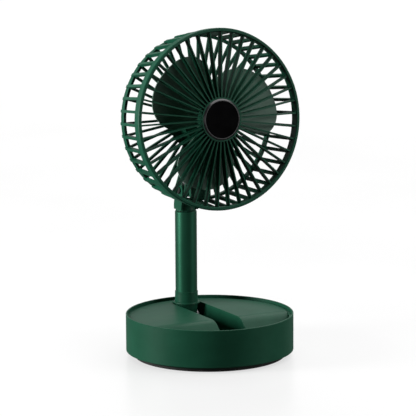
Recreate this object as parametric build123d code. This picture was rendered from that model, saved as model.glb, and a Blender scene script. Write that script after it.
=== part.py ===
from build123d import *
import math
import os

# A folding, telescopic, rechargeable table fan with an 8 inch head on a round base.
# Frame: millimetres, +Z up, the ground at z = 0. The fan blows towards -Y. The head, the pole
# and the channel that takes the folded pole are centred on the plane x = 0, and y = 0 is the
# middle of the round base, whose axis stands a little to the left of that plane.

# --- driving dimensions ---------------------------------------------------------------

BASE_R = 95.0  # outer radius of the round base
BASE_X = -8.5  # the base's axis, beside the plane of the pole and the head
RIM_Z = 48.6  # top of the base rim
WALL_BOTTOM_Z = 6.2  # lower edge of the base side wall
WALL_IN_R = 92.8  # inner radius of the side wall below the deck
RIM_IN_R = 93.3  # inner radius of the rim above the deck
FOOT_R = 86.0  # outer radius of the rubber foot ring
FOOT_H = 3.0
DECK_Z = 45.3  # top face of the deck
DECK_R = 90.0
DECK_T = 2.2  # deck thickness, measured straight down
LEDGE_Z = 44.6  # ledge of the shell round the deck
CREASE_Y = -19.5  # the deck falls away in front of this line
SCOOP_Z = 26.0  # floor of the scoop in front of the ramp
RAMP_DEG = 42.0
RAMP_R = 22.0  # rounding at the top of the ramp

POLE_Y = 72.5
PIVOT_Z = 27.0  # height of the pole's folding axis
CHANNEL_HALF = 15.95  # half width of the channel that takes the folded pole
CHANNEL_FLOOR_Z = 10.5
CHANNEL_END_R = 91.2  # the channel stops at this radius, inside the front wall
SKIN = 1.8  # wall thickness of the channel
EDGE_ROUND = 0.8  # rounding of the channel's top edges

TUBE_R = 12.6  # outer tube
TUBE_BORE = 11.6
TUBE_TOP_Z = 154.0
FLANGE_R = 15.5
COLLAR_R = 13.25
COLLAR_TOP_Z = 59.5
SECTIONS = (  # inner tubes: name, outer radius, bore, lowest z
    ("second_tube", 10.9, 9.9, 60.0),
    ("third_tube", 9.2, 8.3, 61.0),
    ("top_tube", 7.6, 6.6, 62.0),
)
GLIDE_H = 10.0  # height of the sliding rings inside the tubes
SLIDE_GAP = 0.05  # radial running clearance of the sliding rings
NECK_R = 11.2
HINGE_Y = 67.5  # head hinge axis, 5 mm in front of the pole axis
HINGE_Z = 179.0
HINGE_R = 8.5  # radius of the fork and of the eye round the hinge axis

HEAD_Y = -12.25  # centre of the front ring
HEAD_Z = 270.2
HEAD_TILT = 5.0  # the head looks up by this many degrees at rest
RING_R = 102.2  # outer radius of the front ring
RING_IN_R = 98.2
FINS = 42  # fins, ribs and rear spokes all have this count
CAP_R = 23.2  # outer radius of the cap in the middle of the front grille
REAR_R = 94.6  # outer radius of the rear ring
REAR_F = -58.5  # rear face of the rear ring, behind the front ring's plane
RIB_T = 3.2  # thickness of the ribs round the side of the cage
SPOKE_T = 2.6  # thickness of the rear spokes
BLADES = 3
BLADE_TURN = 27.0  # angle of the first blade's middle
SHAFT_R = 2.0

# --- helpers --------------------------------------------------------------------------

os.makedirs("parts", exist_ok=True)

HEAD = Plane(
    origin=(0, HEAD_Y, HEAD_Z),
    x_dir=(1, 0, 0),
    z_dir=(0, -math.cos(math.radians(HEAD_TILT)), math.sin(math.radians(HEAD_TILT))),
)  # local x to the right, local y up the head, local z forwards


def save(name, shape):
    """Writes one sub-part."""
    export_step(shape, f"parts/{name}.step")


def disc(radius, low, high, x=0.0, y=0.0):
    """A cylinder along Z between two heights."""
    return Pos(x, y, (low + high) / 2) * Cylinder(radius, high - low)


def ring(outer, inner, low, high):
    """A round tube along Z between two heights."""
    return disc(outer, low, high) - disc(inner, low - 1, high + 1)


def block(x0, x1, y0, y1, z0, z1):
    """A box between two corners."""
    middle = Pos((x0 + x1) / 2, (y0 + y1) / 2, (z0 + z1) / 2)
    return middle * Box(x1 - x0, y1 - y0, z1 - z0)


def cross_recess(low, high, span=2.6, width=0.7):
    """A cross-shaped driver recess about Z, to cut out of a screw head."""
    half, thin = span / 2, width / 2
    slot = block(-half, half, -thin, thin, low, high)
    return slot + Rot(0, 0, 90) * slot


def spun(*points):
    """A solid of revolution about Z from (radius, height) points."""
    return revolve(make_face(Plane.XZ * Polyline(*points, close=True)), Axis.Z)


def slab(outline, x0, x1):
    """A plate across X from a face drawn in (y, z)."""
    return extrude(Plane.YZ * outline, x1 - x0).moved(Location((x0, 0, 0)))


def around(angle, radius, shape):
    """A shape moved out along X by radius and turned about Z."""
    return Rot(0, 0, angle) * Pos(radius, 0, 0) * shape


def outline_yz(*points):
    """A flat face from straight sides, for slab()."""
    return make_face(Polyline(*points, close=True))


def joined(shapes):
    """One solid from overlapping shapes."""
    first, *rest = list(shapes)
    return first.fuse(*rest) if rest else first


def placed_on_head(shape):
    """Carries a shape from the head's own axes to the fan's."""
    return HEAD.location * shape


# --- base, on the base's own axis -----------------------------------------------------

CHANNEL_X = -BASE_X  # the pole's plane, as seen from the base's axis
SERVICE_DEG = 55.0  # direction of the inlet and the button, at the back of the base
SERVICE_Z = 26.0
SERVICE = Plane(
    origin=(0, 0, SERVICE_Z),
    x_dir=(-math.sin(math.radians(SERVICE_DEG)), math.cos(math.radians(SERVICE_DEG)), 0),
    z_dir=(math.cos(math.radians(SERVICE_DEG)), math.sin(math.radians(SERVICE_DEG)), 0),
)  # local x along the wall, local y up, local z outwards from the base's axis
INLET_X = -9.5
INLET_W = 9.0
INLET_H = 3.3
BUTTON_X = 9.0
BUTTON_R = 4.4
BUTTON_GAP = 0.3
LIGHT_XS = (-3.6, -1.2, 1.2, 3.6)
LIGHT_Y = 8.0
POST_DEGS = (20, 115, 205, 255, 325)
POST_RING_R = 74.0
POST_R = 4.0
BRACKET_SCREWS = tuple((x, y) for x in (-6.5, 6.5) for y in (POLE_Y - 13.5, POLE_Y + 6.5))
SCREW_R = 1.4
SCREW_HEAD_R = 3.0


def deck_profile():
    """The deck's top line from back to front, closed down to the ground, as a (y, z) face."""
    a = math.radians(RAMP_DEG)
    arc_y = CREASE_Y - RAMP_R * math.sin(a)
    arc_z = DECK_Z - RAMP_R * (1 - math.cos(a))
    mid_y = CREASE_Y - RAMP_R * math.sin(a / 2)
    mid_z = DECK_Z - RAMP_R * (1 - math.cos(a / 2))
    foot_y = arc_y - (arc_z - SCOOP_Z) / math.tan(a)
    top = [
        Line((BASE_R, 0), (BASE_R, DECK_Z)),
        Line((BASE_R, DECK_Z), (CREASE_Y, DECK_Z)),
        ThreePointArc((CREASE_Y, DECK_Z), (mid_y, mid_z), (arc_y, arc_z)),
        Line((arc_y, arc_z), (foot_y, SCOOP_Z)),
        Line((foot_y, SCOOP_Z), (-BASE_R, SCOOP_Z)),
        Line((-BASE_R, SCOOP_Z), (-BASE_R, 0)),
        Line((-BASE_R, 0), (BASE_R, 0)),
    ]
    return make_face(Wire(top))


def channel(half, floor_z, end_r):
    """The slot from the round rear end, about the pole, to the front wall."""
    straight = block(CHANNEL_X - half, CHANNEL_X + half, -BASE_R, POLE_Y, floor_z, 70)
    return (straight + disc(half, floor_z, 70, CHANNEL_X, POLE_Y)) & disc(end_r, 0, 80)


def base_shell():
    lip = 0.5
    wall = spun(
        (BASE_R, WALL_BOTTOM_Z + lip),
        (BASE_R, RIM_Z - lip),
        (BASE_R - lip, RIM_Z),
        (RIM_IN_R + 0.3, RIM_Z),
        (RIM_IN_R, RIM_Z - 0.3),
        (RIM_IN_R, LEDGE_Z),
        (DECK_R + 0.2, LEDGE_Z),
        (DECK_R + 0.2, LEDGE_Z - 1.5),
        (WALL_IN_R, LEDGE_Z - 1.5),
        (WALL_IN_R, WALL_BOTTOM_Z),
        (BASE_R - lip, WALL_BOTTOM_Z),
    )
    cuts = [
        SERVICE * (Pos(INLET_X, 0, 90) * Box(INLET_W, INLET_H, 20)),
        SERVICE * (Pos(BUTTON_X, 0, 90) * Cylinder(BUTTON_R + BUTTON_GAP, 20)),
    ]
    cuts += [SERVICE * (Pos(x, LIGHT_Y, 90) * Cylinder(1.0, 20)) for x in LIGHT_XS]
    for cut in cuts:
        wall -= cut
    return wall


def base_deck():
    """The deck with its ramp and scoop, the channel's walls and floor, and the screw posts."""
    under = slab(deck_profile(), -BASE_R, BASE_R)
    plate = under - under.moved(Location((0, 0, -DECK_T)))
    pocket = under & channel(CHANNEL_HALF + SKIN, CHANNEL_FLOOR_Z - 2.0, WALL_IN_R - 0.2)
    posts = [around(a, POST_RING_R, disc(POST_R, 8.4, 60)) & under for a in POST_DEGS]
    body = joined([plate, pocket, *posts])
    body &= disc(WALL_IN_R - 0.1, 0, LEDGE_Z - 1.5) + disc(DECK_R, 0, 60)
    body -= channel(CHANNEL_HALF, CHANNEL_FLOOR_Z, CHANNEL_END_R)
    for a in POST_DEGS:
        body -= around(a, POST_RING_R, disc(SCREW_R, 0, 22))
    for x, y in BRACKET_SCREWS:
        body -= disc(SCREW_R, 0, 20, CHANNEL_X + x, y)
    sides = [CHANNEL_X - CHANNEL_HALF, CHANNEL_X + CHANNEL_HALF]
    top = [
        e
        for e in body.edges()
        if min(abs(e.center().X - x) for x in sides) < 0.01
        and e.bounding_box().size.X < 0.01
        and e.center().Z > SCOOP_Z + 1
        and e.center().Y < POLE_Y - 1
        and e.bounding_box().size.Y > 1
    ]
    return fillet(top, EDGE_ROUND)


def base_bottom():
    plate = spun(
        (0, FOOT_H),
        (FOOT_R, FOOT_H),
        (WALL_IN_R - 0.1, 6.6),
        (WALL_IN_R - 0.1, 8.3),
        (WALL_IN_R - 2.1, 8.3),
        (WALL_IN_R - 2.1, 7.8),
        (FOOT_R - 1, 5.4),
        (0, 5.4),
    )
    for a in POST_DEGS:
        plate -= around(a, POST_RING_R, disc(SCREW_R, 0, 10) + disc(SCREW_HEAD_R, 0, 4.6))
    return plate


def foot_ring():
    return spun((80, 0.4), (80.4, 0), (85.4, 0), (FOOT_R, 0.6), (FOOT_R, FOOT_H), (80, FOOT_H))


def bottom_screws():
    one = disc(SCREW_HEAD_R, 3.1, 4.6) + disc(SCREW_R, 4.6, 20) - cross_recess(3.0, 4.0)
    return Compound([around(a, POST_RING_R, one) for a in POST_DEGS])


CELL_XS = (-24.0, -43.5, -63.0)
CELL_R = 9.2
CELL_Y0 = -20.0
CELL_L = 65.0
TRAY_TOP_Z = 10.0


def battery_cells():
    def cell(x):
        can = Pos(x, CELL_Y0 + CELL_L / 2, TRAY_TOP_Z + CELL_R) * Rot(90, 0, 0)
        tip = Pos(x, CELL_Y0 + CELL_L + 0.75, TRAY_TOP_Z + CELL_R) * Rot(90, 0, 0)
        return can * Cylinder(CELL_R, CELL_L) + tip * Cylinder(2.7, 1.5)

    return Compound([cell(x) for x in CELL_XS])


def battery_tray():
    x0, x1 = CELL_XS[-1] - CELL_R - 1.2, CELL_XS[0] + CELL_R + 1.2
    y0, y1 = CELL_Y0 - 2.0, CELL_Y0 + CELL_L + 3.5
    solid = block(x0, x1, y0, y1, 8.2, 18.0)
    return solid - block(x0 + 1.2, x1 - 1.2, y0 + 1.2, y1 - 1.2, TRAY_TOP_Z, 20)


def ballast_plate():
    plate = disc(66.0, 5.5, 8.0)
    for x, y in BRACKET_SCREWS:
        plate -= disc(SCREW_R + 1.2, 0, 20, CHANNEL_X + x, y)
    return plate


BOARD_R = 76.0  # distance of the board from the base's axis
BOARD_T = 1.6


def control_board():
    return SERVICE * (Pos(0, 0, BOARD_R + BOARD_T / 2) * Box(40, 20, BOARD_T))


def usb_inlet():
    low, high = BOARD_R + BOARD_T, 94.2
    shell = Pos(INLET_X, 0, (low + high) / 2) * Box(INLET_W, INLET_H, high - low)
    shell -= Pos(INLET_X, 0, high - 3) * Box(INLET_W - 0.8, INLET_H - 0.8, 6.01)
    shell += Pos(INLET_X, 0, high - 4.0) * Box(INLET_W - 3.0, 0.8, 6)
    return SERVICE * shell


def button_switch():
    body = block(BUTTON_X - 3, BUTTON_X + 3, -3, 3, BOARD_R + BOARD_T, 81.0)
    return SERVICE * (body + disc(1.6, 81.0, 82.0, BUTTON_X, 0))


def speed_button():
    cap = disc(BUTTON_R, 90.0, 95.6, BUTTON_X, 0)
    cap = chamfer(cap.edges().group_by(Axis.Z)[-1], 0.6)
    return SERVICE * (cap + disc(5.6, 88.5, 90.0, BUTTON_X, 0) + disc(2.0, 83.4, 88.5, BUTTON_X, 0))


def charge_lights():
    pipe = [disc(1.0, BOARD_R + BOARD_T, 94.7, x, LIGHT_Y) for x in LIGHT_XS]
    return SERVICE * Compound(pipe)


# --- pole, in its own plane -----------------------------------------------------------

BRACKET_IN = 10.0  # inner and outer faces of the steel cheeks, from the pole's plane
BRACKET_OUT = 13.0
PIN_R = 3.0


def pole_bracket():
    """Steel U on the channel's floor that carries the pole's folding pin."""
    floor_top = CHANNEL_FLOOR_Z + 2.0
    y0, y1 = POLE_Y - 16.0, POLE_Y + 9.2
    floor = block(-BRACKET_OUT, BRACKET_OUT, y0, y1, CHANNEL_FLOOR_Z, floor_top)
    cheek = outline_yz(
        (y1, CHANNEL_FLOOR_Z),
        (y1, PIVOT_Z),
        (POLE_Y - 9, PIVOT_Z),
        (POLE_Y - 12, CHANNEL_FLOOR_Z),
    )
    body = floor
    for side in (-1, 1):
        x0, x1 = sorted((side * BRACKET_IN, side * BRACKET_OUT))
        eye = Pos((x0 + x1) / 2, POLE_Y, PIVOT_Z) * Rot(0, 90, 0) * Cylinder(9.0, x1 - x0)
        body += slab(cheek, x0, x1) + eye
    body -= Pos(0, POLE_Y, PIVOT_Z) * Rot(0, 90, 0) * Cylinder(PIN_R, 40)
    for x, y in BRACKET_SCREWS:
        body -= disc(SCREW_R, 0, 20, x, y)
    return body


def bracket_screws():
    top = CHANNEL_FLOOR_Z + 2.0
    one = disc(2.3, top, top + 1.0) + disc(SCREW_R, 9.0, top)
    return Compound([Pos(x, y, 0) * one for x, y in BRACKET_SCREWS])


def pole_pin():
    """Folding pin with a rounded head at each end, outside the cheeks."""
    pin = Cylinder(PIN_R, 2 * BRACKET_OUT)
    head = Cylinder(4.6, 2.2)
    pin += Pos(0, 0, BRACKET_OUT + 1.1) * head + Pos(0, 0, -BRACKET_OUT - 1.1) * head
    pin = chamfer(pin.edges().group_by(Axis.Z)[-1] + pin.edges().group_by(Axis.Z)[0], 0.7)
    return Pos(0, POLE_Y, PIVOT_Z) * Rot(0, 90, 0) * pin


FLANGE_Z = 45.7
TUBE_BOTTOM_Z = 47.2
KNUCKLE_HALF = 9.5
WASHER_IN = KNUCKLE_HALF + 0.05
WASHER_OUT = BRACKET_IN - 0.05


def at_pole(shape):
    return Pos(0, POLE_Y, 0) * shape


def pole_knuckle():
    """Moulded foot of the pole: an eye on the pin, a round shank and a plug inside the tube."""
    eye = Pos(0, 0, PIVOT_Z) * Rot(0, 90, 0) * Cylinder(TUBE_R, 2 * KNUCKLE_HALF)
    web = block(-KNUCKLE_HALF, KNUCKLE_HALF, -TUBE_R, TUBE_R, PIVOT_Z, 41) & disc(TUBE_R, 0, 60)
    body = joined([eye & disc(TUBE_R, 0, 60), web, disc(TUBE_R, 39.5, FLANGE_Z)])
    body += disc(TUBE_BORE, FLANGE_Z, 58.0)
    body -= Pos(0, 0, PIVOT_Z) * Rot(0, 90, 0) * Cylinder(PIN_R + SLIDE_GAP, 40)
    return at_pole(body)


def knuckle_washers():
    one = ring(7.5, PIN_R + SLIDE_GAP, WASHER_IN, WASHER_OUT)
    pair = [Rot(0, 90, 0) * one, Rot(0, -90, 0) * one]
    return Pos(0, POLE_Y, PIVOT_Z) * Compound(pair)


def pole_flange():
    """Thin skirt that covers the rear end of the channel while the pole stands up."""
    body = spun(
        (TUBE_BORE, FLANGE_Z),
        (FLANGE_R - 0.3, FLANGE_Z),
        (FLANGE_R, FLANGE_Z + 0.4),
        (FLANGE_R - 0.5, TUBE_BOTTOM_Z),
        (TUBE_BORE, TUBE_BOTTOM_Z),
    )
    return at_pole(body)


def pole_collar():
    """Sleeve round the foot of the tube, with a groove below its top edge."""
    groove_z = COLLAR_TOP_Z - 2.0
    body = spun(
        (TUBE_R, TUBE_BOTTOM_Z),
        (COLLAR_R, TUBE_BOTTOM_Z),
        (COLLAR_R, groove_z - 0.3),
        (COLLAR_R - 0.3, groove_z),
        (COLLAR_R, groove_z + 0.3),
        (COLLAR_R, COLLAR_TOP_Z - 0.3),
        (COLLAR_R - 0.3, COLLAR_TOP_Z),
        (TUBE_R, COLLAR_TOP_Z),
    )
    return at_pole(body)


def outer_tube():
    lip = 0.9
    body = spun(
        (TUBE_BORE, TUBE_BOTTOM_Z),
        (TUBE_R, TUBE_BOTTOM_Z),
        (TUBE_R, TUBE_TOP_Z - lip),
        (TUBE_R - lip, TUBE_TOP_Z),
        (TUBE_BORE, TUBE_TOP_Z),
    )
    return at_pole(body)


def section_tube(outer, bore, low):
    return at_pole(ring(outer, bore, low, TUBE_TOP_Z))


def section_bush(outer, bore):
    """Ring in the mouth of a tube, in which the next tube slides."""
    return at_pole(ring(bore, outer + SLIDE_GAP, TUBE_TOP_Z - GLIDE_H, TUBE_TOP_Z))


def section_glide(outer, outside_bore, low):
    """Ring on the foot of a tube, which slides in the tube outside it."""
    return at_pole(ring(outside_bore - SLIDE_GAP, outer, low, low + GLIDE_H))


FORK_IN = 8.4
FORK_OUT = 11.2
NECK_Z = TUBE_TOP_Z + 0.4
SLOT_Z = HINGE_Z - 12.3  # top of the neck between the forks, under the flipped tongue
HEAD_PIN_R = 2.5
BARREL_R = 4.5
BARREL_HALF = 8.2
BARREL_DISC_R = 9.6  # steel friction discs, clear of the channel's front wall when folded
EYE_HALF = 3.2


def cross_pin(radius, half):
    """A cylinder along X on the head's hinge axis."""
    return Pos(0, HINGE_Y, HINGE_Z) * Rot(0, 90, 0) * Cylinder(radius, 2 * half)


def neck():
    """Cap of the top tube, which carries the fork of the head's hinge."""
    top_bore = SECTIONS[-1][2]
    low = spun(
        (0, NECK_Z),
        (NECK_R + 0.5, NECK_Z),
        (NECK_R + 0.5, NECK_Z + 1.4),
        (NECK_R, NECK_Z + 4.0),
        (NECK_R, SLOT_Z - 1.5),
        (NECK_R - 1.5, SLOT_Z),
        (0, SLOT_Z),
    )
    body = at_pole(low + disc(top_bore, NECK_Z - 14, NECK_Z + 1))
    front, back = POLE_Y - NECK_R + 1.5, POLE_Y + NECK_R - 3.0
    side = make_hull(
        (
            Pos(HINGE_Y, HINGE_Z) * Circle(HINGE_R)
            + Pos((front + back) / 2, SLOT_Z - 8) * Rectangle(back - front, 6)
        ).edges()
    )
    for sign in (-1, 1):
        x0, x1 = sorted((sign * FORK_IN, sign * FORK_OUT))
        body += slab(side, x0, x1)
    body -= cross_pin(HEAD_PIN_R, 20)
    return body - cross_pin(BARREL_DISC_R + 0.7, FORK_IN)


def head_pin():
    pin = Cylinder(HEAD_PIN_R, 2 * FORK_OUT)
    head = Cylinder(4.4, 1.6)
    pin += Pos(0, 0, FORK_OUT + 0.8) * head + Pos(0, 0, -FORK_OUT - 0.8) * head
    pin = chamfer(pin.edges().group_by(Axis.Z)[-1] + pin.edges().group_by(Axis.Z)[0], 0.5)
    return Pos(0, HINGE_Y, HINGE_Z) * Rot(0, 90, 0) * pin


def hinge_barrel():
    """Steel friction sleeve on the pin, with a heavy disc on each side of the head's eye."""
    body = Cylinder(BARREL_R, 2 * BARREL_HALF)
    gap = 0.2
    disc_t = BARREL_HALF - EYE_HALF - gap
    for sign in (-1, 1):
        body += Pos(0, 0, sign * (BARREL_HALF - disc_t / 2)) * Cylinder(BARREL_DISC_R, disc_t)
    body -= Cylinder(HEAD_PIN_R + SLIDE_GAP, 30)
    return Pos(0, HINGE_Y, HINGE_Z) * Rot(0, 90, 0) * body


# --- head, in the head's own axes -----------------------------------------------------

TILT = math.radians(HEAD_TILT)
# the hinge axis as seen from the middle of the front ring: up the head, and forwards
HINGE_UP = (HINGE_Y - HEAD_Y) * math.sin(TILT) + (HINGE_Z - HEAD_Z) * math.cos(TILT)
HINGE_F = -(HINGE_Y - HEAD_Y) * math.cos(TILT) + (HINGE_Z - HEAD_Z) * math.sin(TILT)
REAR_SKIN_F = -58.0  # rear face of the rear spokes and of the middle disc
PAD_HALF = 12.0
PAD_LOW = -90.0
PAD_HIGH = -60.0
PAD_F = -61.5  # rear face of the bracket's plate
PAD_SCREWS = tuple((x, y) for x in (-8.5, 8.5) for y in (-86.5, -65.0))
PAD_SCREW_R = 1.3
CASE_SCREW_DEGS = (30, 150, 270)  # the three screws through cover, grille and housing
CASE_SCREW_RING_R = 31.0
CASE_SCREW_R = 1.2
CASE_HEAD_R = 2.2


def fin(thickness, *points):
    """A flat fin in the (radius, forwards) plane, pointing along +X."""
    face = make_face(Plane.XZ * Polyline(*points, close=True))
    return extrude(face, thickness / 2, both=True)


def all_round(shape, count=FINS):
    return [Rot(0, 0, 360.0 * i / count) * shape for i in range(count)]


def front_grille():
    outer = spun(
        (RING_IN_R, -8.0),
        (RING_R - 0.3, -8.0),
        (RING_R, -0.6),
        (RING_R - 0.35, 0.5),
        (RING_R - 1.1, 1.0),
        (RING_IN_R + 0.6, 1.0),
        (RING_IN_R, 0.3),
    )
    spoke = fin(1.5, (24.0, 3.0), (RING_IN_R + 0.6, -0.4), (RING_IN_R + 0.6, -8.0), (24.0, -5.5))
    hub = ring(CAP_R + 1.7, CAP_R + 0.1, -6.0, 3.6) + disc(CAP_R + 1.0, -2.0, 1.0)
    return joined([outer, hub, *all_round(spoke)])


def cap_bezel():
    """Bevelled ring round the cap."""
    return spun((20.9, 1.0), (CAP_R, 1.0), (CAP_R, 3.6), (21.6, 5.0), (20.9, 5.0))


def front_cap():
    return spun((0, 1.0), (20.8, 1.0), (20.8, 4.3), (14, 4.45), (0, 4.6))


def rear_grille():
    """Rear ring, rear spokes, side ribs, middle disc, bearing seat and hinge pad in one moulding."""
    back_ring = ring(REAR_R, 91.5, REAR_F, REAR_F + 7)
    front_rim = ring(RING_R - 0.8, RING_IN_R + 0.2, -11.0, -8.1)
    rib = fin(
        RIB_T,
        (98.8, -8.6),
        (100.9, -8.6),
        (101.0, -13.0),
        (96.5, -55.0),
        (95.9, -57.6),
        (94.2, REAR_F - 0.6),
        (92.4, REAR_F - 0.2),
        (92.4, -52.0),
        (97.6, -11.5),
        (98.8, -10.9),
    )
    spoke = fin(
        SPOKE_T, (35.2, REAR_SKIN_F), (92.6, REAR_SKIN_F), (92.6, -53.6), (35.2, -54.4)
    )
    middle = disc(36.0, REAR_SKIN_F, -55.5) + ring(7.5, 5.0, -56, -52.5)
    pad = block(-PAD_HALF, PAD_HALF, -92.5, PAD_HIGH, REAR_SKIN_F, -54.0)
    body = joined([back_ring, front_rim, middle, pad, *all_round(rib), *all_round(spoke)])
    for x, y in PAD_SCREWS:
        body -= disc(PAD_SCREW_R, -70, -40, x, y)
    for a in CASE_SCREW_DEGS:
        body -= around(a, CASE_SCREW_RING_R, disc(CASE_SCREW_R, -70, -40))
    return body


def grille_screws():
    """Three screws that clamp the rear cover, the rear grille and the motor housing."""
    one = disc(CASE_HEAD_R, -61.6, -60.4) + disc(CASE_SCREW_R, -60.4, -51.0)
    one -= cross_recess(-61.7, -60.9)
    return Compound([around(a, CASE_SCREW_RING_R, one) for a in CASE_SCREW_DEGS])


def rear_cover():
    body = spun(
        (0, -62.0),
        (31.5, -62.0),
        (34.0, -60.4),
        (34.0, REAR_SKIN_F - 0.1),
        (32.4, REAR_SKIN_F - 0.1),
        (32.4, -59.6),
        (31.0, -60.4),
        (0, -60.4),
    )
    for a in CASE_SCREW_DEGS:
        seat = around(a, CASE_SCREW_RING_R, disc(3.4, -60.6, REAR_SKIN_F - 0.1))
        hole = disc(CASE_SCREW_R, -70, -40) + disc(CASE_HEAD_R, -63, -60.4)
        body += seat & disc(34.0, -62, -58)
        body -= around(a, CASE_SCREW_RING_R, hole)
    for y in (-16, -8, 0, 8, 16):
        body -= Pos(0, y, -61.5) * Box(30 - abs(y) * 0.5, 2.0, 4)
    return body


def motor_housing():
    """Cup over the motor, with the front bearing's seat and three screw ears."""
    body = ring(28.0, 26.2, -55.5, -36.0) + ring(27.0, 5.0, -37.6, -36.0)
    body += ring(7.0, 5.0, -42.0, -37.0)
    for a in CASE_SCREW_DEGS:
        ear = around(a, CASE_SCREW_RING_R, disc(3.6, -55.5, -50.0))
        ear += around(a, 28.5, disc(2.0, -55.5, -50.0))
        body += ear - disc(26.4, -60, -30)
        body -= around(a, CASE_SCREW_RING_R, disc(CASE_SCREW_R, -70, -40))
    return body


def motor_stator():
    teeth = [Rot(0, 0, 60 * i) * block(11.8, 23, -2.2, 2.2, -52, -43.5) for i in range(6)]
    shoes = [Rot(0, 0, 60 * i) * block(11.8, 13.2, -5.0, 5.0, -52, -43.5) for i in range(6)]
    body = joined([ring(26.1, 22.4, -52, -43.5), *teeth, *shoes])
    return body - disc(11.6, -60, -40)


def motor_coils():
    one = block(14.0, 21.6, -4.3, 4.3, -53.0, -42.6) - block(13, 23, -2.25, 2.25, -52.05, -43.45)
    return Compound([Rot(0, 0, 60 * i) * one for i in range(6)])


def motor_board():
    return ring(25.0, 9.0, -55.2, -53.6)


def motor_bearings():
    bore = SHAFT_R + SLIDE_GAP
    return Compound([ring(5.0, bore, -41.0, -38.0), ring(5.0, bore, -55.4, -52.6)])


def motor_shaft():
    return chamfer((disc(SHAFT_R, -55.2, -9.0)).edges().group_by(Axis.Z)[-1], 0.4)


def rotor_magnet():
    return ring(11.0, SHAFT_R, -51.6, -44.0)


def head_bracket():
    """Plate on the rear grille and the tongue with the hinge eye."""
    plate = block(-PAD_HALF, PAD_HALF, PAD_LOW, PAD_HIGH, PAD_F, REAR_SKIN_F)
    plate = fillet(plate.edges().filter_by(Axis.Z), 3.0)
    side = make_hull(
        (
            Pos(HINGE_F, HINGE_UP) * Circle(HINGE_R)
            + Pos(PAD_F + 1, (PAD_LOW - 71.0) / 2) * Rectangle(2, -71.0 - PAD_LOW)
        ).edges()
    )
    turned = Plane(origin=(0, 0, 0), x_dir=(0, 0, 1), z_dir=(1, 0, 0))
    tongue = extrude(turned * mirror(side, Plane.XZ), EYE_HALF, both=True)
    cheek = block(-5.8, 5.8, PAD_LOW + 1, -72.0, -68.0, PAD_F + 1)
    cheek = chamfer(cheek.faces().sort_by(Axis.Z)[0].edges(), 1.6)
    body = joined([plate, tongue, cheek])
    eye = Pos(0, HINGE_UP, HINGE_F) * Rot(0, 90, 0) * Cylinder(BARREL_R + SLIDE_GAP, 40)
    body -= eye
    for x, y in PAD_SCREWS:
        body -= disc(PAD_SCREW_R, -70, -40, x, y)
    return body


def bracket_head_screws():
    one = disc(2.5, PAD_F - 1.4, PAD_F) + disc(PAD_SCREW_R, PAD_F, -55.0)
    one -= cross_recess(PAD_F - 1.5, PAD_F - 0.7)
    return Compound([Pos(x, y, 0) * one for x, y in PAD_SCREWS])


# --- blades, in the head's own axes ---------------------------------------------------

HUB_R = 15.5
HUB_F = -23.0  # the blades' middle, behind the front ring's plane
BLADE_T = 1.6
# the outline of one blade about its middle line: radius, and degrees towards the rear edge
BLADE_OUTLINE = (
    (12.0, -45),
    (30.0, -52),
    (50.0, -50),
    (68.0, -45),
    (78.5, -33),
    (80.5, -14),
    (79.0, 3),
    (72.0, 20),
    (60.0, 34),
    (44.0, 46),
    (28.0, 52),
    (12.0, 50),
)


def blade_depth(radius, angle):
    """How far forward the blade's mid surface lies, from its radius and angle in radians."""
    return HUB_F - (9.0 + 0.09 * radius) * angle + 2.0 * math.cos(2.2 * angle)


def one_blade():
    grid = []
    for i in range(9):
        radius = 9.0 + i * 9.4
        row = []
        for k in range(9):
            a = math.radians(-66 + k * 16.5)
            row.append((radius * math.cos(a), radius * math.sin(a), blade_depth(radius, a)))
        grid.append(row)
    sheet = Face.make_surface_from_array_of_points(grid)
    plate = thicken(sheet, BLADE_T / 2, both=True)
    points = [
        (r * math.cos(math.radians(a)), r * math.sin(math.radians(a))) for r, a in BLADE_OUTLINE
    ]
    shape = make_face(Spline(*points, periodic=True))
    cutter = extrude(Plane.XY.offset(-50) * shape, 60)
    return plate & cutter


def fan_blades():
    blade = one_blade()
    hub = spun(
        (SHAFT_R, -34.0),
        (HUB_R, -34.0),
        (HUB_R, -17.0),
        (HUB_R - 1.5, -15.0),
        (8.0, -13.6),
        (SHAFT_R, -13.6),
    )
    turned = [Rot(0, 0, BLADE_TURN + 360 / BLADES * i) * blade for i in range(BLADES)]
    return joined([hub, *turned]) - disc(SHAFT_R, -60, 0)


def blade_nut():
    """Spinner nut that clamps the blades on the shaft."""
    body = extrude(Plane.XY.offset(-13.5) * RegularPolygon(5.5, 6), 4.5) - disc(SHAFT_R, -20, 0)
    return body


# --- all sub-parts --------------------------------------------------------------------


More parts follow.
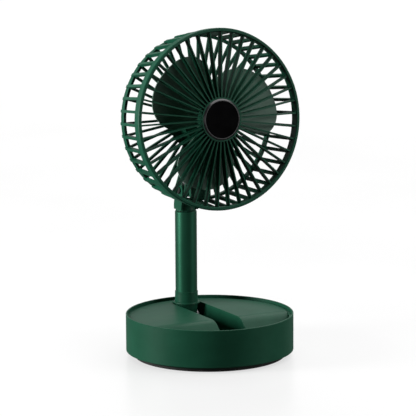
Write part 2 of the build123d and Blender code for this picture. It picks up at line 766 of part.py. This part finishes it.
def main():
    base = {
        "base_shell": base_shell,
        "base_deck": base_deck,
        "base_bottom": base_bottom,
        "foot_ring": foot_ring,
        "bottom_screws": bottom_screws,
        "ballast_plate": ballast_plate,
        "battery_tray": battery_tray,
        "battery_cells": battery_cells,
        "control_board": control_board,
        "usb_inlet": usb_inlet,
        "button_switch": button_switch,
        "speed_button": speed_button,
        "charge_lights": charge_lights,
    }
    for name, make in base.items():
        save(name, Pos(BASE_X, 0, 0) * make())
    pole = {
        "pole_bracket": pole_bracket,
        "bracket_screws": bracket_screws,
        "pole_pin": pole_pin,
        "pole_knuckle": pole_knuckle,
        "knuckle_washers": knuckle_washers,
        "pole_flange": pole_flange,
        "pole_collar": pole_collar,
        "outer_tube": outer_tube,
        "neck": neck,
        "head_pin": head_pin,
        "hinge_barrel": hinge_barrel,
    }
    for name, make in pole.items():
        save(name, make())
    outside_bore = TUBE_BORE
    mouth = "outer_tube"
    for name, outer, bore, low in SECTIONS:
        save(name, section_tube(outer, bore, low))
        save(f"{mouth}_bush", section_bush(outer, outside_bore))
        save(f"{name}_glide", section_glide(outer, outside_bore, low))
        outside_bore, mouth = bore, name
    head = {
        "front_grille": front_grille,
        "cap_bezel": cap_bezel,
        "front_cap": front_cap,
        "rear_grille": rear_grille,
        "grille_screws": grille_screws,
        "rear_cover": rear_cover,
        "motor_housing": motor_housing,
        "motor_stator": motor_stator,
        "motor_coils": motor_coils,
        "motor_board": motor_board,
        "motor_bearings": motor_bearings,
        "motor_shaft": motor_shaft,
        "rotor_magnet": rotor_magnet,
        "head_bracket": head_bracket,
        "bracket_head_screws": bracket_head_screws,
        "fan_blades": fan_blades,
        "blade_nut": blade_nut,
    }
    for name, make in head.items():
        save(name, placed_on_head(make()))


main()
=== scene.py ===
import math

import bpy
from mathutils import Matrix, Vector


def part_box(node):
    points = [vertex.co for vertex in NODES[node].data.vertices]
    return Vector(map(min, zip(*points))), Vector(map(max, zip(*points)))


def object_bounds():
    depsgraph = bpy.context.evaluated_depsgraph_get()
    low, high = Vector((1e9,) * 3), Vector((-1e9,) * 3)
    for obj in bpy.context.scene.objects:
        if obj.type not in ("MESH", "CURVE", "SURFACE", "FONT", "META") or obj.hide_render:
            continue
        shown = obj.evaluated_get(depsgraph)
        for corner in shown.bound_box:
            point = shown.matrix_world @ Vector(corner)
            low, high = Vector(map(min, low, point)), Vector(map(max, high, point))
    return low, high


# The looks of the folding table fan: materials, camera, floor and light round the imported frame.
# Metres, +Z up; the fan blows towards -Y.

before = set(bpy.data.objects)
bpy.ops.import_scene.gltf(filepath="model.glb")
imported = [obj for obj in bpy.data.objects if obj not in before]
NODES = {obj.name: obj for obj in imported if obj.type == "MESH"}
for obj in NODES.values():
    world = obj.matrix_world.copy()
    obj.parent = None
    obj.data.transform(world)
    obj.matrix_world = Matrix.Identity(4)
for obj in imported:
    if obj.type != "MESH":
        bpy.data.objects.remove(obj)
cad_low, cad_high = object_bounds()
MM = 0.001

# --- camera ---------------------------------------------------------------------------

BASE_LOW, BASE_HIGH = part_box("base_shell")
BASE_AXIS_X = (BASE_LOW.x + BASE_HIGH.x) / 2
CAMERA_AZIMUTH = -28.1
CAMERA_ELEVATION = 10.28
CAMERA_ROLL = -0.362
CAMERA_DISTANCE = 3.0
FRAME_SIDE = 416
IMAGE_SCALE = 0.88854  # of FRAME_SIDE's units, how many one millimetre takes up at the aim
SENSOR = 36.0
AIM_ALONG = -1.08 * MM  # the aim is beside the base's axis by this much
AIM_HEIGHT = 168.6 * MM


def make_camera():
    a, e = math.radians(CAMERA_AZIMUTH), math.radians(CAMERA_ELEVATION)
    roll = math.radians(CAMERA_ROLL)
    back = Vector((math.sin(a) * math.cos(e), -math.cos(a) * math.cos(e), math.sin(e)))
    right = Vector((math.cos(a), math.sin(a), 0))
    up = back.cross(right)
    across = right * math.cos(roll) + up * math.sin(roll)
    upwards = up * math.cos(roll) - right * math.sin(roll)
    aim = Vector((BASE_AXIS_X, 0, AIM_HEIGHT)) + right * AIM_ALONG
    data = bpy.data.cameras.new("camera")
    data.sensor_width = SENSOR
    data.lens = SENSOR * IMAGE_SCALE * CAMERA_DISTANCE / MM / FRAME_SIDE
    camera = bpy.data.objects.new("camera", data)
    place = Matrix((across, upwards, back)).transposed().to_4x4()
    place.translation = aim + back * CAMERA_DISTANCE
    camera.matrix_world = place
    data.clip_end = 100
    bpy.context.scene.collection.objects.link(camera)
    bpy.context.scene.camera = camera


# --- material helpers -----------------------------------------------------------------


class Nodes:
    """A material's node tree, with short calls for the nodes that this script uses."""

    def __init__(self, name):
        self.material = bpy.data.materials.new(name)
        self.material.use_nodes = True
        self.tree = self.material.node_tree
        self.shader = self.tree.nodes["Principled BSDF"]
        self.where = self.tree.nodes.new("ShaderNodeTexCoord").outputs["Object"]

    def add(self, kind, **settings):
        node = self.tree.nodes.new(kind)
        for key, value in settings.items():
            setattr(node, key, value)
        return node

    def link(self, a, b):
        self.tree.links.new(a, b)

    def stretched(self, scale):
        node = self.add("ShaderNodeMapping")
        node.inputs["Scale"].default_value = scale
        self.link(self.where, node.inputs["Vector"])
        return node.outputs["Vector"]

    def noise(self, scale, detail=2.0, stretch=None, roughness=0.5):
        node = self.add("ShaderNodeTexNoise")
        node.inputs["Scale"].default_value = scale
        node.inputs["Detail"].default_value = detail
        node.inputs["Roughness"].default_value = roughness
        self.link(self.stretched(stretch) if stretch else self.where, node.inputs["Vector"])
        return node.outputs["Fac"]

    def ranged(self, value, low, high, from_low=0.3, from_high=0.7):
        node = self.add("ShaderNodeMapRange")
        node.inputs["From Min"].default_value = from_low
        node.inputs["From Max"].default_value = from_high
        node.inputs["To Min"].default_value = low
        node.inputs["To Max"].default_value = high
        self.link(value, node.inputs["Value"])
        return node.outputs["Result"]

    def mixed(self, fac, a, b):
        node = self.add("ShaderNodeMix", data_type="RGBA")
        self.link(fac, node.inputs[0])
        for socket, colour in ((node.inputs[6], a), (node.inputs[7], b)):
            if isinstance(colour, tuple):
                socket.default_value = (*colour, 1)
            else:
                self.link(colour, socket)
        return node.outputs[2]

    def bump(self, heights):
        """heights: (value socket, depth in metres) pairs, stacked."""
        last = None
        for value, depth in heights:
            node = self.add("ShaderNodeBump")
            node.inputs["Strength"].default_value = 1.0
            node.inputs["Distance"].default_value = depth
            self.link(value, node.inputs["Height"])
            if last:
                self.link(last, node.inputs["Normal"])
            last = node.outputs["Normal"]
        self.link(last, self.shader.inputs["Normal"])

    def set(self, **values):
        for key, value in values.items():
            self.shader.inputs[key.replace("_", " ")].default_value = value

    def colour(self, socket):
        self.link(socket, self.shader.inputs["Base Color"])

    def roughness(self, socket):
        self.link(socket, self.shader.inputs["Roughness"])


def moulded(name, low, high, rough=(0.34, 0.44), specular=0.30, grain=0.004 * MM):
    """Injection-moulded plastic: fine spark texture, faint flow mottling and handling marks."""
    n = Nodes(name)
    mottle = n.noise(38, 4, roughness=0.6)
    speck = n.noise(1400, 1)
    tint = n.mixed(n.ranged(mottle, 0, 1), low, high)
    n.colour(n.mixed(n.ranged(speck, 0, 0.22, 0.52, 0.8), tint, tuple(c * 1.35 for c in high)))
    n.roughness(n.ranged(n.noise(22, 3), rough[0], rough[1]))
    n.bump([(speck, grain), (n.noise(260, 2), grain * 2.0)])
    n.set(Specular_IOR_Level=specular)
    return n.material


def painted(name, low, high):
    """Satin metallic paint on drawn tube: faint lengthwise draw marks under an even coat."""
    n = Nodes(name)
    draw = n.noise(900, 2, stretch=(1, 1, 0.02))
    n.colour(n.mixed(n.ranged(n.noise(30, 3), 0, 1), low, high))
    n.roughness(n.ranged(n.noise(45, 3), 0.36, 0.40))
    n.bump([(draw, 0.0012 * MM), (n.noise(700, 2), 0.0015 * MM)])
    n.set(Specular_IOR_Level=0.12, Metallic=0.6)
    return n.material


def metal(name, low, high, rough=(0.22, 0.36), stretch=(1, 1, 0.06)):
    """Plated or turned metal with fine tool marks and faint staining."""
    n = Nodes(name)
    marks = n.noise(1500, 2, stretch=stretch)
    n.colour(n.mixed(n.ranged(n.noise(120, 4), 0, 1), low, high))
    n.roughness(n.ranged(marks, rough[0], rough[1]))
    n.bump([(marks, 0.0015 * MM)])
    n.set(Metallic=1.0)
    return n.material


def gloss_cap():
    """Polished black cap: near-mirror, with hairline polishing marks."""
    n = Nodes("gloss_black")
    fine = n.noise(90, 3)
    n.colour(n.mixed(n.ranged(fine, 0, 1), (0.0012, 0.0012, 0.0013), (0.0028, 0.0028, 0.003)))
    n.roughness(n.ranged(n.noise(60, 3), 0.10, 0.16))
    n.bump([(n.noise(500, 2), 0.0003 * MM)])
    n.set(Specular_IOR_Level=0.008)
    return n.material


def rubber():
    """Matt foot rubber with fine pits."""
    n = Nodes("black_rubber")
    pits = n.noise(1100, 3)
    n.colour(n.mixed(n.ranged(n.noise(60, 3), 0, 1), (0.006, 0.007, 0.006), (0.014, 0.015, 0.014)))
    n.roughness(n.ranged(n.noise(80, 3), 0.72, 0.88))
    n.bump([(pits, 0.01 * MM)])
    n.set(Specular_IOR_Level=0.25)
    return n.material


def board():
    """Circuit board: solder mask over copper tracks drawn as a fine brick pattern."""
    n = Nodes("circuit_board")
    tracks = n.add("ShaderNodeTexBrick")
    tracks.inputs["Scale"].default_value = 260
    tracks.inputs["Mortar Size"].default_value = 0.09
    tracks.inputs["Color1"].default_value = (0, 0, 0, 1)
    tracks.inputs["Color2"].default_value = (0.15, 0.15, 0.15, 1)
    tracks.inputs["Mortar"].default_value = (1, 1, 1, 1)
    n.link(n.where, tracks.inputs["Vector"])
    n.colour(n.mixed(tracks.outputs["Color"], (0.004, 0.06, 0.022), (0.02, 0.17, 0.055)))
    n.roughness(n.ranged(n.noise(200, 2), 0.24, 0.36))
    n.bump([(tracks.outputs["Color"], 0.02 * MM)])
    return n.material


def cell_wrap():
    """Shrink sleeve with faint wrinkles."""
    n = Nodes("cell_wrap")
    wrinkle = n.noise(160, 3, stretch=(1, 0.2, 1))
    n.colour(n.mixed(n.ranged(n.noise(50, 3), 0, 1), (0.012, 0.06, 0.20), (0.02, 0.09, 0.27)))
    n.roughness(n.ranged(wrinkle, 0.22, 0.34))
    n.bump([(wrinkle, 0.03 * MM)])
    return n.material


def winding():
    """Enamelled wire laid in close turns."""
    n = Nodes("copper_winding")
    turns = n.add("ShaderNodeTexWave", wave_type="BANDS", bands_direction="Z")
    turns.inputs["Scale"].default_value = 700
    n.link(n.where, turns.inputs["Vector"])
    n.colour(n.mixed(turns.outputs["Fac"], (0.22, 0.07, 0.03), (0.62, 0.26, 0.11)))
    n.roughness(n.ranged(n.noise(300, 2), 0.25, 0.36))
    n.bump([(turns.outputs["Fac"], 0.05 * MM)])
    n.set(Metallic=0.85)
    return n.material


def light_pipe():
    """Clear plastic, slightly frosted."""
    n = Nodes("light_pipe")
    n.colour(n.mixed(n.ranged(n.noise(700, 2), 0, 1), (0.55, 0.68, 0.60), (0.75, 0.86, 0.80)))
    n.roughness(n.ranged(n.noise(400, 2), 0.30, 0.45))
    n.bump([(n.noise(900, 2), 0.004 * MM)])
    n.set(Transmission_Weight=0.5)
    return n.material


# --- materials on the CAD nodes -------------------------------------------------------


SHARP_ANGLE = 32.0  # degrees between faces above which an edge stays sharp


def smooth(obj):
    """Shades a CAD node smoothly between its sharp edges."""
    obj.data.shade_smooth()
    obj.data.set_sharp_from_angle(angle=math.radians(SHARP_ANGLE))


def dress():
    green = moulded("green_plastic", (0.0050, 0.042, 0.0225), (0.0068, 0.051, 0.028),
                    rough=(0.39, 0.44), specular=0.08)
    grille = moulded("grille_plastic", (0.0045, 0.045, 0.024), (0.0060, 0.054, 0.030),
                     rough=(0.38, 0.48), specular=0.08)
    blade = moulded("blade_plastic", (0.082, 0.148, 0.112), (0.098, 0.172, 0.131),
                    rough=(0.36, 0.46), specular=0.20)
    tube = painted("tube_paint", (0.0085, 0.056, 0.031), (0.0100, 0.063, 0.035))
    nylon = moulded("nylon", (0.018, 0.019, 0.018), (0.028, 0.030, 0.028), specular=0.4)
    bezel = moulded("bezel_plastic", (0.010, 0.010, 0.011), (0.016, 0.016, 0.017),
                    rough=(0.20, 0.28), specular=0.5)
    steel = metal("zinc_plate", (0.42, 0.43, 0.44), (0.60, 0.60, 0.60))
    black_steel = metal("black_steel", (0.018, 0.020, 0.019), (0.034, 0.037, 0.035), rough=(0.38, 0.50))
    laminate = metal("stator_steel", (0.16, 0.16, 0.17), (0.26, 0.26, 0.27), stretch=(0.05, 0.05, 1))
    magnet = metal("magnet", (0.05, 0.05, 0.055), (0.09, 0.09, 0.095), rough=(0.4, 0.55))
    by_material = {
        green: ["base_shell", "base_deck", "base_bottom", "pole_knuckle", "pole_flange",
                "pole_collar", "neck", "rear_cover", "motor_housing",
                "head_bracket", "speed_button"],
        grille: ["front_grille", "rear_grille"],
        tube: ["outer_tube", "second_tube", "third_tube", "top_tube"],
        blade: ["fan_blades", "blade_nut"],
        gloss_cap(): ["front_cap"],
        bezel: ["cap_bezel"],
        rubber(): ["foot_ring"],
        steel: ["bottom_screws", "ballast_plate", "pole_bracket", "bracket_screws", "knuckle_washers",
                "motor_bearings", "motor_shaft", "usb_inlet"],
        black_steel: ["pole_pin", "head_pin", "hinge_barrel", "grille_screws",
                      "bracket_head_screws"],
        laminate: ["motor_stator"],
        magnet: ["rotor_magnet"],
        nylon: ["outer_tube_bush", "second_tube_bush", "third_tube_bush", "second_tube_glide",
                "third_tube_glide", "top_tube_glide", "battery_tray", "button_switch"],
        board(): ["control_board", "motor_board"],
        cell_wrap(): ["battery_cells"],
        winding(): ["motor_coils"],
        light_pipe(): ["charge_lights"],
    }
    dressed = set()
    for material, names in by_material.items():
        for name in names:
            NODES[name].data.materials.clear()
            NODES[name].data.materials.append(material)
            smooth(NODES[name])
            dressed.add(name)
    missing = sorted(set(NODES) - dressed)
    if missing:
        raise ValueError(f"no material for {missing}")


# --- floor and light ------------------------------------------------------------------

FLOOR_HALF = 40.0
FLOOR_GLOW = 0.66  # the floor's own light; it doesn't reach the fan
HEAD_HEIGHT = (cad_high.z + cad_low.z) / 2
SOFTBOXES = (  # name, azimuth, elevation, distance, (width, height), power in watts
    ("key_left", -104, 7, 1.3, (0.40, 0.66), 33.0),
    ("fill_right", 47, 14, 1.7, (0.5, 1.1), 15.0),
)
SUN_POWER = 4.6
SUN_SPREAD = 85.0  # degrees
SUN_LEAN = (-6.0, 20.0)  # degrees about X and about Y
# the studio wall's light, by the sine of the angle above the horizon
HORIZON_LIGHT = 1.0
CEILING_LIGHT = 0.10
CEILING_FADE = (0.10, 0.42)
BELOW_LIGHT = 0.16  # share of it left below the horizon, which only glossy faces see
BELOW_FADE = (-0.14, -0.01)


def make_floor():
    """A pale floor that shines evenly by itself, with a faint soft reflection of the fan."""
    mesh = bpy.data.meshes.new("floor")
    corners = [(x, y, 0) for x, y in ((-1, -1), (1, -1), (1, 1), (-1, 1))]
    mesh.from_pydata([(x * FLOOR_HALF, y * FLOOR_HALF, z) for x, y, z in corners], [], [(0, 1, 2, 3)])
    floor = bpy.data.objects.new("floor", mesh)
    bpy.context.scene.collection.objects.link(floor)
    n = Nodes("floor")
    n.colour(n.mixed(n.ranged(n.noise(3, 2), 0, 1), (0.14, 0.14, 0.14), (0.16, 0.16, 0.16)))
    n.set(Roughness=0.30, Specular_IOR_Level=0.12)
    n.set(Emission_Color=(1, 1, 1, 1), Emission_Strength=FLOOR_GLOW)
    mesh.materials.append(n.material)
    floor.visible_diffuse = False
    floor.visible_glossy = False


def softbox(name, azimuth, elevation, distance, size, power):
    """A rectangular area light aimed at the middle of the fan. Azimuth 0 is in front of it."""
    a, e = math.radians(azimuth), math.radians(elevation)
    back = Vector((math.sin(a) * math.cos(e), -math.cos(a) * math.cos(e), math.sin(e)))
    data = bpy.data.lights.new(name, "AREA")
    data.shape = "RECTANGLE"
    data.size, data.size_y = size
    data.energy = power
    light = bpy.data.objects.new(name, data)
    light.location = Vector((0, 0, HEAD_HEIGHT)) + back * distance
    light.rotation_euler = back.to_track_quat("Z", "Y").to_euler()
    light.visible_camera = False
    bpy.context.scene.collection.objects.link(light)


def make_light():
    for light in SOFTBOXES:
        softbox(*light)
    sun = bpy.data.lights.new("overhead", "SUN")
    sun.energy = SUN_POWER
    sun.angle = math.radians(SUN_SPREAD)
    above = bpy.data.objects.new("overhead", sun)
    above.rotation_euler = (math.radians(SUN_LEAN[0]), math.radians(SUN_LEAN[1]), 0)
    bpy.context.scene.collection.objects.link(above)
    make_world()
    bpy.context.scene.view_settings.view_transform = "Standard"


def fading(tree, value, between, low, high):
    """A smooth change from low to high while value goes from one end of between to the other."""
    node = tree.nodes.new("ShaderNodeMapRange")
    node.interpolation_type = "SMOOTHSTEP"
    node.inputs["From Min"].default_value, node.inputs["From Max"].default_value = between
    node.inputs["To Min"].default_value = low
    node.inputs["To Max"].default_value = high
    tree.links.new(value, node.inputs["Value"])
    return node.outputs["Result"]


def make_world():
    """A studio wall that is bright at the horizon, where it meets the floor, and dim elsewhere."""
    world = bpy.data.worlds.new("studio")
    bpy.context.scene.world = world
    world.use_nodes = True
    world.cycles_visibility.diffuse = False
    tree = world.node_tree
    direction = tree.nodes.new("ShaderNodeTexCoord").outputs["Generated"]
    split = tree.nodes.new("ShaderNodeSeparateXYZ")
    tree.links.new(direction, split.inputs["Vector"])
    height = split.outputs["Z"]
    both = tree.nodes.new("ShaderNodeMath")
    both.operation = "MULTIPLY"
    above = fading(tree, height, CEILING_FADE, HORIZON_LIGHT, CEILING_LIGHT)
    below = fading(tree, height, BELOW_FADE, BELOW_LIGHT, 1.0)
    tree.links.new(above, both.inputs[0])
    tree.links.new(below, both.inputs[1])
    background = tree.nodes["Background"]
    background.inputs["Color"].default_value = (1, 1, 1, 1)
    tree.links.new(both.outputs["Value"], background.inputs["Strength"])


make_camera()
dress()
make_floor()
make_light()
